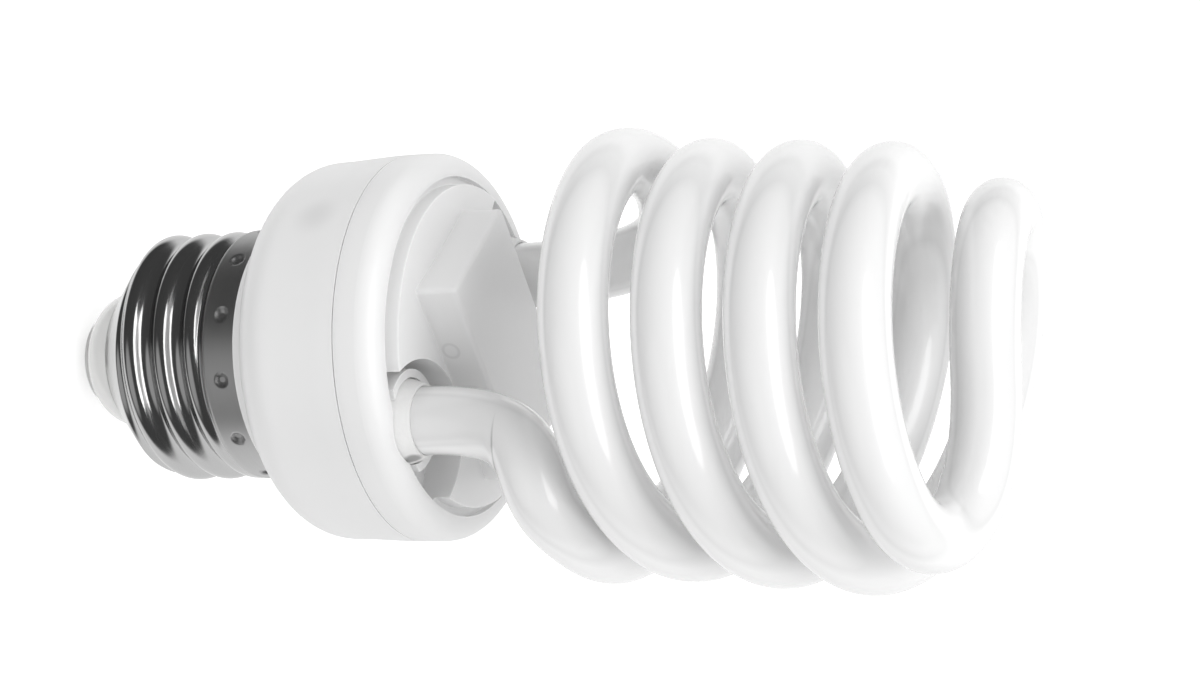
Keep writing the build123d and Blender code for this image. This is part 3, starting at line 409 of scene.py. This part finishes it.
def mark_group(name):
    """The distance from the middle, each axis times its stretch, fades the amount from inner to outer."""
    numbers = [("Middle", (0.0, 0.0, 0.0)), ("Stretch", (1.0, 1.0, 1.0)), ("Inner", 0.001),
               ("Outer", 0.002), ("Amount", 1.0)]
    tree, given, result = group(name, numbers, "Mask")
    place = add(tree, "TexCoord")
    away = add(tree, "VectorMath", operation="SUBTRACT")
    stretched = add(tree, "VectorMath", operation="MULTIPLY")
    length = add(tree, "VectorMath", operation="LENGTH")
    mask = add(tree, "MapRange", [("To Max", 0.0)], interpolation_type="SMOOTHSTEP")
    join(tree, (place.outputs["Object"], away.inputs[0]), (given.outputs["Middle"], away.inputs[1]),
         (away.outputs["Vector"], stretched.inputs[0]), (given.outputs["Stretch"], stretched.inputs[1]),
         (stretched.outputs["Vector"], length.inputs[0]), (length.outputs["Value"], mask.inputs["Value"]),
         (given.outputs["Inner"], mask.inputs["From Min"]), (given.outputs["Outer"], mask.inputs["From Max"]),
         (given.outputs["Amount"], mask.inputs["To Min"]), (mask.outputs["Result"], result.inputs["Mask"]))
    return tree


MARK = mark_group("surface_mark")
print("effect", MARK.name)

# %% [markdown]
# ## A finish
# Moulded plastic, coated glass, rolled metal and the parts on the board differ in a few numbers: a
# colour that drifts between itself and a slightly darker one, a roughness with or without rubbed lines,
# and a bump from the grain. One class holds the shader and adds these, so that each finish below is one
# or two lines that can be read at a glance.

# %% The finish class
DARKER, MOSTLY_FULL = 0.94, 0.75


class Finish:
    """A material whose Principled shader gets its colour, roughness and bump from the effects."""

    def __init__(self, name, color, roughness, metallic=0.0, coat=0.0, coat_roughness=0.03):
        self.material = bpy.data.materials.new(name)
        self.material.use_nodes = True
        self.tree = self.material.node_tree
        self.shader = self.tree.nodes["Principled BSDF"]
        for socket, value in (("Roughness", roughness), ("Metallic", metallic), ("Coat Weight", coat),
                              ("Coat Roughness", coat_roughness)):
            self.shader.inputs[socket].default_value = value
        darker = [c * DARKER for c in color]
        self.base = add(self.tree, "Mix", [("A", (*darker, 1)), ("B", (*color, 1))], data_type="RGBA")
        self.feed("Base Color", self.base.outputs["Result"])

    def feed(self, socket, out):
        """Links an output to a socket of the shader."""
        join(self.tree, (out, self.shader.inputs[socket]))

    def fed_by(self, socket):
        """The output that feeds a socket of the shader now."""
        return self.shader.inputs[socket].links[0].from_socket

    def effect(self, tree, scale, strength):
        """Places a noise effect and gives its value."""
        made = add(self.tree, "Group", [("Scale", scale), ("Strength", strength)], node_tree=tree)
        return made.outputs["Value"]

    def drift(self, scale=60.0, amount=1.0):
        """Colour between its darker and its full value by soft blotches."""
        lift = add(self.tree, "Math", [(1, MOSTLY_FULL)], operation="ADD", use_clamp=True)
        join(self.tree, (self.effect(BLOTCH, scale, amount), lift.inputs[0]),
             (lift.outputs[0], self.base.inputs["Factor"]))
        return self

    def rubbed(self, scale=900.0, amount=0.15):
        """Roughness with fine lines, about the shader's own value."""
        plain = self.shader.inputs["Roughness"].default_value
        uneven = add(self.tree, "Math", [(0, plain)], operation="ADD", use_clamp=True)
        join(self.tree, (self.effect(RUBBED, scale, amount), uneven.inputs[1]))
        self.feed("Roughness", uneven.outputs[0])
        return self

    def grain(self, scale=3000.0, distance=0.00002, strength=0.3):
        """Bump from fine grain, with the distance in metres."""
        bump = add(self.tree, "Bump", [("Strength", strength), ("Distance", distance)])
        join(self.tree, (self.effect(GRAIN, scale, 1.0), bump.inputs["Height"]))
        self.feed("Normal", bump.outputs["Normal"])
        return self

    def tint(self, mask, color):
        """Lays a colour over the present one as far as the mask says."""
        over = add(self.tree, "Mix", [("B", (*color, 1))], data_type="RGBA")
        join(self.tree, (mask, over.inputs["Factor"]), (self.fed_by("Base Color"), over.inputs["A"]))
        self.feed("Base Color", over.outputs["Result"])


# %% Helpers for every finish


def grey(level):
    """A colour with no hue."""
    return (level, level, level)


def soften(finish, amount, depth):
    """Lets light into the surface to a depth in metres, as milky plastic and the tube's powder do."""
    for socket, value in (("Subsurface Weight", amount), ("Subsurface Radius", (1, 1, 1)),
                          ("Subsurface Scale", depth)):
        finish.shader.inputs[socket].default_value = value


def spread(tree, value, low, high, at_low, at_high, shape="SMOOTHSTEP"):
    """Runs from at_low to at_high while the value goes from low to high."""
    numbers = [("From Min", low), ("From Max", high), ("To Min", at_low), ("To Max", at_high)]
    ramp = add(tree, "MapRange", numbers, interpolation_type=shape)
    join(tree, (value, ramp.inputs["Value"]))
    return ramp.outputs["Result"]


def spot(finish, middle, inner, outer, color, amount, stretch=(1, 1, 1)):
    """Tints a place on the surface, fully up to the inner radius and fading out at the outer one."""
    numbers = [("Middle", middle), ("Stretch", stretch), ("Inner", inner), ("Outer", outer),
               ("Amount", amount)]
    mark = add(finish.tree, "Group", numbers, node_tree=MARK)
    finish.tint(mark.outputs["Mask"], color)


def dress(finish, *names):
    """Puts the finish on CAD nodes, whose meshes stay as they are."""
    for name in names:
        piece = nodes[name]
        piece.data.materials.clear()
        piece.data.materials.append(finish.material)
    print(finish.material.name, "on", ", ".join(names))


# %% [markdown]
# ## White plastic
# The housing is satin moulded plastic that lets a little light in. Its edges catch the light as thin
# pale lines, because they are rounded. The model's edges are sharp, and rounding them in the mesh would
# change it, so a Bevel node finds them: where its rounded normal leaves the plain one, the colour is
# lighter, a painted highlight. The photograph also shows the round mark of an ejector pin on the block,
# and a faint smudge on the case.

# %% Housing
EDGE_RADIUS, EDGE_SAMPLES = 0.00035, 6
EDGE_STARTS, EDGE_FULL = 0.995, 0.93
EJECTOR_AT, EJECTOR_RIM, EJECTOR_MIDDLE = (0.00043, -0.00853, 0.04675), (0.0009, 0.0011), (0.0006, 0.0008)
SMUDGE_AT, SMUDGE_SIZE = (-0.0138, -0.0143, 0.0350), (0.0002, 0.0032)


def painted_edge_highlight(finish, color):
    """Painted highlight: lightens the finish by the dot product of the rounded and the plain normal."""
    rounded = add(finish.tree, "Bevel", [("Radius", EDGE_RADIUS)], samples=EDGE_SAMPLES)
    plain = add(finish.tree, "NewGeometry")
    match = add(finish.tree, "VectorMath", operation="DOT_PRODUCT")
    join(finish.tree, (rounded.outputs["Normal"], match.inputs[0]),
         (plain.outputs["Normal"], match.inputs[1]))
    mask = spread(finish.tree, match.outputs["Value"], EDGE_STARTS, EDGE_FULL, 0.0, 1.0, "LINEAR")
    finish.tint(mask, color)


housing = Finish("satin_white_plastic", grey(0.86), 0.36).drift(45.0, 0.8).rubbed(500.0, 0.08)
housing.grain(2600.0, 0.000012, 0.25)
soften(housing, 0.3, 0.0015)
# Painted highlight on the rounded edges.
painted_edge_highlight(housing, grey(0.95))
spot(housing, EJECTOR_AT, *EJECTOR_RIM, grey(0.60), 0.35)
spot(housing, EJECTOR_AT, *EJECTOR_MIDDLE, grey(0.86), 0.8)
spot(housing, SMUDGE_AT, *SMUDGE_SIZE, grey(0.55), 0.30)
dress(housing, "lower_case", "tube_cover")

# %% [markdown]
# ## Coated glass
# The tube is clear glass with a white powder on its inside. Real clear glass over a white core would
# need two surfaces and much light bouncing, so one surface does both: the powder is the soft white
# base, and the clear glass is a full coat over it. At the rim, where the eye looks along the glass
# wall, a thin dark line and a paler band follow the edge, as painted shade and painted light in the
# colour. A Layer Weight places them by the slant of the surface. A thin grey line of painted shade lies
# in the fold between leg and lead.

# %% Glass
RIM_PALE_AT, RIM_DARK_AT, RIM_BAND_AT = 0.34, 0.41, 0.50
RIM_PLAIN, RIM_DARK, RIM_BAND = 0.5, 0.36, 0.72
FOLD_SHADE_AT, FOLD_SHADE_SIZE, FOLD_SHADE_STRETCH = (0.0107, -0.0173, 0.0551), (0.00004, 0.00022), (0.045, 0.045, 1.0)

coated = Finish("white_coated_glass", grey(0.84), 0.34, coat=1.0, coat_roughness=0.015)
coated.drift(30.0, 0.6)
# Painted light and shade at the rim: a dark line and a paler band, placed by the slant of the surface.
rim = add(coated.tree, "LayerWeight", [("Blend", 0.5)])
wall = add(coated.tree, "ValToRGB")
wall.color_ramp.elements[0].position = RIM_PALE_AT
wall.color_ramp.elements[0].color = (*grey(RIM_PLAIN), 1)
wall.color_ramp.elements[1].position = RIM_BAND_AT
wall.color_ramp.elements[1].color = (*grey(RIM_BAND), 1)
wall.color_ramp.elements.new(RIM_DARK_AT).color = (*grey(RIM_DARK), 1)
painted_rim_light = add(coated.tree, "Mix", [("Factor", 1.0)], data_type="RGBA", blend_type="SOFT_LIGHT")
join(coated.tree, (rim.outputs["Facing"], wall.inputs["Fac"]),
     (coated.base.outputs["Result"], painted_rim_light.inputs["A"]),
     (wall.outputs["Color"], painted_rim_light.inputs["B"]))
coated.feed("Base Color", painted_rim_light.outputs["Result"])
# Painted shade in the fold between leg and lead.
spot(coated, FOLD_SHADE_AT, *FOLD_SHADE_SIZE, grey(0.30), 0.55, FOLD_SHADE_STRETCH)
soften(coated, 0.3, 0.002)
glass.data.materials.append(coated.material)
print(coated.material.name, "on", glass.name)

# %% [markdown]
# ## Rolled metal
# The cap is bright metal. The rollers leave the thread nearly a mirror, and the collar, which they don't
# touch, is hazier, so its roughness is raised above the height where the thread ends. A dark smear lies
# where the cone meets the insulator.

# %% Cap metal
COLLAR_HAZE, HAZE_RUN = 0.26, 0.0008
SMEAR_AT, SMEAR_SIZE = (-0.0005, -0.0083, 0.0060), (0.0002, 0.0010)
SMEAR_STEPS = (-0.0014, -0.0004, 0.0006)


def duller_above(finish, low, high, added):
    """Adds to the roughness while the height goes from low to high."""
    place = add(finish.tree, "TexCoord")
    parts = add(finish.tree, "SeparateXYZ")
    total = add(finish.tree, "Math", operation="ADD", use_clamp=True)
    climb = spread(finish.tree, parts.outputs["Z"], low, high, 0.0, added)
    join(finish.tree, (place.outputs["Object"], parts.inputs["Vector"]),
         (finish.fed_by("Roughness"), total.inputs[0]), (climb, total.inputs[1]))
    finish.feed("Roughness", total.outputs[0])


cap_metal = Finish("rolled_cap_metal", grey(0.52), 0.16, metallic=1.0)
cap_metal.drift(90.0, 1.0).rubbed(1400.0, 0.14).grain(2200.0, 0.000008, 0.25)
duller_above(cap_metal, COLLAR_BOTTOM_Z * MM - HAZE_RUN, COLLAR_BOTTOM_Z * MM, COLLAR_HAZE)
for step in SMEAR_STEPS:
    spot(cap_metal, (SMEAR_AT[0] + step, *SMEAR_AT[1:]), *SMEAR_SIZE, grey(0.02), 0.75)
shell.data.materials.append(cap_metal.material)
print(cap_metal.material.name, "on", shell.name)

# %% [markdown]
# ## Contact, insulator and cement
# The contact at the tip is dull and pale, as solder is. The disc that holds it is white and glassy.
# The cement round the legs is dry and rough, and a dark gap beside the front leg is painted shade on it.

# %% Contact, insulator and cement
GAP_SHADE_AT, GAP_SHADE_SIZE = (0.0113, -0.0136, 0.0446), (0.0006, 0.0012)

contact_metal = Finish("contact_metal", (0.84, 0.84, 0.83), 0.55, metallic=0.2)
contact_metal.drift(300.0, 1.2).rubbed(900.0, 0.25)
dress(contact_metal, "centre_contact")
insulator = Finish("glassy_insulator", (0.88, 0.88, 0.87), 0.22, coat=0.5).drift(120.0, 1.0)
dress(insulator, "cap_insulator")
cement = Finish("leg_cement", (0.85, 0.85, 0.845), 0.85).drift(400.0, 1.3).grain(1500.0, 0.00012, 0.7)
# Painted shade of the gap beside the front leg.
spot(cement, GAP_SHADE_AT, *GAP_SHADE_SIZE, grey(0.25), 0.8)
dress(cement, "front_leg_cement", "rear_leg_cement")

# %% [markdown]
# ## The ballast's parts
# They are hidden in the housing, but a later maker may open it. Each material that such a board carries
# gets its own plain finish: dark ferrite, black plastic, enamelled wire, shrink sleeve, dipped film,
# ceramic, laminate and tin.

# %% Wound parts and the can
ferrite = Finish("dark_ferrite", (0.07, 0.07, 0.075), 0.6).drift(500.0, 1.5).grain(1800.0, 0.00004, 0.6)
dress(ferrite, "choke_core", "drive_toroid")
bobbin = Finish("black_bobbin", (0.05, 0.05, 0.05), 0.5).drift(200.0).grain(2400.0, 0.00002, 0.3)
dress(bobbin, "choke_bobbin")
copper = Finish("enamelled_copper", (0.55, 0.24, 0.10), 0.3, metallic=1.0, coat=0.6).drift(300.0, 1.4)
copper.rubbed(2500.0, 0.3)
dress(copper, "choke_winding", "toroid_windings")
sleeve = Finish("can_sleeve", (0.04, 0.045, 0.05), 0.25, coat=0.3).drift(150.0).rubbed(700.0, 0.15)
dress(sleeve, "bulk_capacitor")

# %% Board, wires and small parts
package = Finish("black_package", (0.035, 0.035, 0.037), 0.55).drift(250.0).grain(2800.0, 0.00003, 0.4)
dress(package, "high_side_transistor", "low_side_transistor", "rectifier_diodes")
dip = Finish("film_dip", (0.30, 0.08, 0.04), 0.28, coat=0.4).drift(180.0, 1.2).grain(700.0, 0.00005, 0.3)
dress(dip, "resonant_capacitor", "blocking_capacitor")
ceramic = Finish("resistor_body", (0.55, 0.45, 0.31), 0.4).drift(300.0, 1.2).grain(1500.0, 0.00003, 0.3)
dress(ceramic, "start_resistor", "trigger_diac", "fusible_resistor")
laminate = Finish("board_laminate", (0.50, 0.37, 0.18), 0.5).drift(220.0, 1.5).grain(1600.0, 0.00003, 0.4)
dress(laminate, "ballast_board")
tinned = Finish("tinned_wire", (0.66, 0.66, 0.65), 0.3, metallic=1.0).drift(400.0, 1.2).rubbed(1800.0, 0.2)
dress(tinned, "wire_posts", "filament_leads")
insulation = Finish("lead_insulation", (0.74, 0.74, 0.72), 0.45).drift(200.0).grain(1500.0, 0.00002, 0.3)
dress(insulation, "live_lead", "neutral_lead")

# %% [markdown]
# ## White surroundings
# The photograph has no horizon: all that is behind the bulb is plain white. So the camera, and the rays
# that pass through glass, see a world of strength 1, which is white. A mirror shows more than that: in
# the rolled metal of the cap the white backdrop ends in a dim room above and below the camera, and that
# is where the black bands on the cap come from. In front of the cap a pale table shows grey in its
# collar. The rest of the light is soft, and a little stronger from below than from above. The room could
# be built from walls and lamps, but a few ramps on the ray's direction do the same without noise.

# %% Helpers for the room


def toward(tree, direction):
    """The dot product of the ray's direction and a fixed direction of the room."""
    place = add(tree, "TexCoord")
    dot = add(tree, "VectorMath", [(1, direction)], operation="DOT_PRODUCT")
    join(tree, (place.outputs["Generated"], dot.inputs[0]))
    return dot.outputs["Value"]


def either(tree, first, second, choice):
    """The second value where choice is 1, else the first. The first may be a number or a socket, and so
    may the second."""
    mix = add(tree, "Mix")
    for socket, value in (("A", first), ("B", second)):
        if isinstance(value, float):
            mix.inputs[socket].default_value = value
        else:
            join(tree, (value, mix.inputs[socket]))
    join(tree, (choice, mix.inputs["Factor"]))
    return mix.outputs["Result"]


# %% World
ROOM_DARK = 0.07
BACKDROP_TILT = 0.40
BACKDROP_STARTS, BACKDROP_FULL = 0.18, 0.42
TABLE_TOWARD = Vector((0.30, -0.86, -0.41))
TABLE_STARTS, TABLE_FULL, TABLE_GLOW = 0.80, 0.94, 0.42
SOFT_LOW, SOFT_HIGH = 0.80, 0.74

world = bpy.data.worlds.new("white_room")
bpy.context.scene.world = world
world.use_nodes = True
room = world.node_tree
ray = add(room, "LightPath")
behind = toward(room, CAMERA_FORWARD - CAMERA_UP * BACKDROP_TILT)
backdrop = spread(room, behind, BACKDROP_STARTS, BACKDROP_FULL, ROOM_DARK, 1.0)
table = spread(room, toward(room, TABLE_TOWARD), TABLE_STARTS, TABLE_FULL, 0.0, TABLE_GLOW)
mirrored = add(room, "Math", operation="ADD")
join(room, (backdrop, mirrored.inputs[0]), (table, mirrored.inputs[1]))
soft = spread(room, toward(room, CAMERA_UP), -1.0, 1.0, SOFT_LOW, SOFT_HIGH)
strength = either(room, soft, mirrored.outputs[0], ray.outputs["Is Glossy Ray"])
strength = either(room, strength, 1.0, ray.outputs["Is Transmission Ray"])
strength = either(room, strength, 1.0, ray.outputs["Is Camera Ray"])
background = room.nodes["Background"]
background.inputs["Color"].default_value = (1, 1, 1, 1)
join(room, (strength, background.inputs["Strength"]))
print("world", world.name, "soft light", SOFT_LOW, "to", SOFT_HIGH)

# %% [markdown]
# ## The floor
# The bulb stands on its cap's tip on a wide white sheet, which fills the picture behind it. The sheet
# takes the shadow. To the camera it also glows a little, so that it is as white as the world behind it.
# Its underside lets rays pass, so that a view from below isn't blocked, and mirrors look through it to
# the white world, so that the cap shows the same backdrop that the camera sees.

# %% Floor
FLOOR_FRONT, FLOOR_BACK, FLOOR_SIDE, FLOOR_Z = -0.035, 4.0, 3.0, -0.0002

floor_mesh = bpy.data.meshes.new("pale_floor")
floor_corners = [(-FLOOR_SIDE, FLOOR_FRONT, FLOOR_Z), (FLOOR_SIDE, FLOOR_FRONT, FLOOR_Z),
                 (FLOOR_SIDE, FLOOR_BACK, FLOOR_Z), (-FLOOR_SIDE, FLOOR_BACK, FLOOR_Z)]
floor_mesh.from_pydata(floor_corners, [], [(0, 1, 2, 3)])
floor = bpy.data.objects.new("pale_floor", floor_mesh)
bpy.context.collection.objects.link(floor)
print("floor", 2 * FLOOR_SIDE, "by", FLOOR_BACK - FLOOR_FRONT, "metres")

# %% Floor finish
FLOOR_WHITE, FLOOR_GLOW = 0.85, 0.55

floor_material = bpy.data.materials.new("pale_floor")
floor_material.use_nodes = True
paper = floor_material.node_tree
paper.nodes.clear()
ray = add(paper, "LightPath")
matt = add(paper, "BsdfDiffuse", [("Color", (*grey(FLOOR_WHITE), 1))])
glow = add(paper, "Emission")
lit = add(paper, "AddShader")
side = add(paper, "NewGeometry")
clear = add(paper, "BsdfTransparent")
let_through = add(paper, "Math", operation="MAXIMUM")
sheet = add(paper, "MixShader")
output = add(paper, "OutputMaterial")
camera_glow = either(paper, 0.0, FLOOR_GLOW, ray.outputs["Is Camera Ray"])
join(paper, (camera_glow, glow.inputs["Strength"]), (matt.outputs[0], lit.inputs[0]),
     (glow.outputs[0], lit.inputs[1]), (side.outputs["Backfacing"], let_through.inputs[0]),
     (ray.outputs["Is Glossy Ray"], let_through.inputs[1]), (let_through.outputs[0], sheet.inputs["Fac"]),
     (lit.outputs[0], sheet.inputs[1]), (clear.outputs[0], sheet.inputs[2]),
     (sheet.outputs[0], output.inputs["Surface"]))
floor.data.materials.append(floor_material)
print(floor_material.name, "white", FLOOR_WHITE, "glow", FLOOR_GLOW)

# %% [markdown]
# ## The softbox
# The long tapered highlights on the turns, and the bright strips on the thread, are one tall softbox:
# it stands beside the camera, towards the glass end of the bulb. An ellipse gives the highlights their
# pointed ends. Its light is strong for its size, so that its mirror image in the clear glass is white,
# while most of the light still comes from all round.

# %% Softbox
LOOKED_AT = Vector((0.0, 0.0, 0.055))
SOFTBOX_RIGHT, SOFTBOX_UP, SOFTBOX_AWAY = 38.0, 6.0, 0.50
SOFTBOX_WIDTH, SOFTBOX_HEIGHT, SOFTBOX_RADIANCE = 0.31, 0.74, 2.1

turn, rise = math.radians(SOFTBOX_RIGHT), math.radians(SOFTBOX_UP)
level = -CAMERA_FORWARD * math.cos(turn) + CAMERA_RIGHT * math.sin(turn)
away = (level * math.cos(rise) + CAMERA_UP * math.sin(rise)).normalized()
across = CAMERA_UP.cross(away).normalized()
lamp_axes = Matrix((across, away.cross(across), away)).transposed()
lamp_data = bpy.data.lights.new("tall_softbox", "AREA")
lamp_data.shape = "ELLIPSE"
lamp_data.size, lamp_data.size_y = SOFTBOX_WIDTH, SOFTBOX_HEIGHT
lamp_data.energy = SOFTBOX_RADIANCE * math.pi * SOFTBOX_WIDTH * SOFTBOX_HEIGHT
lamp = bpy.data.objects.new("tall_softbox", lamp_data)
bpy.context.collection.objects.link(lamp)
lamp.matrix_world = Matrix.Translation(LOOKED_AT + away * SOFTBOX_AWAY) @ lamp_axes.to_4x4()
print(lamp.name, "watts", round(lamp_data.energy, 2))

# %% [markdown]
# ## The view transform
# The standard view transform shows the colours as they are written.

# %% View transform
bpy.context.scene.view_settings.view_transform = "Standard"
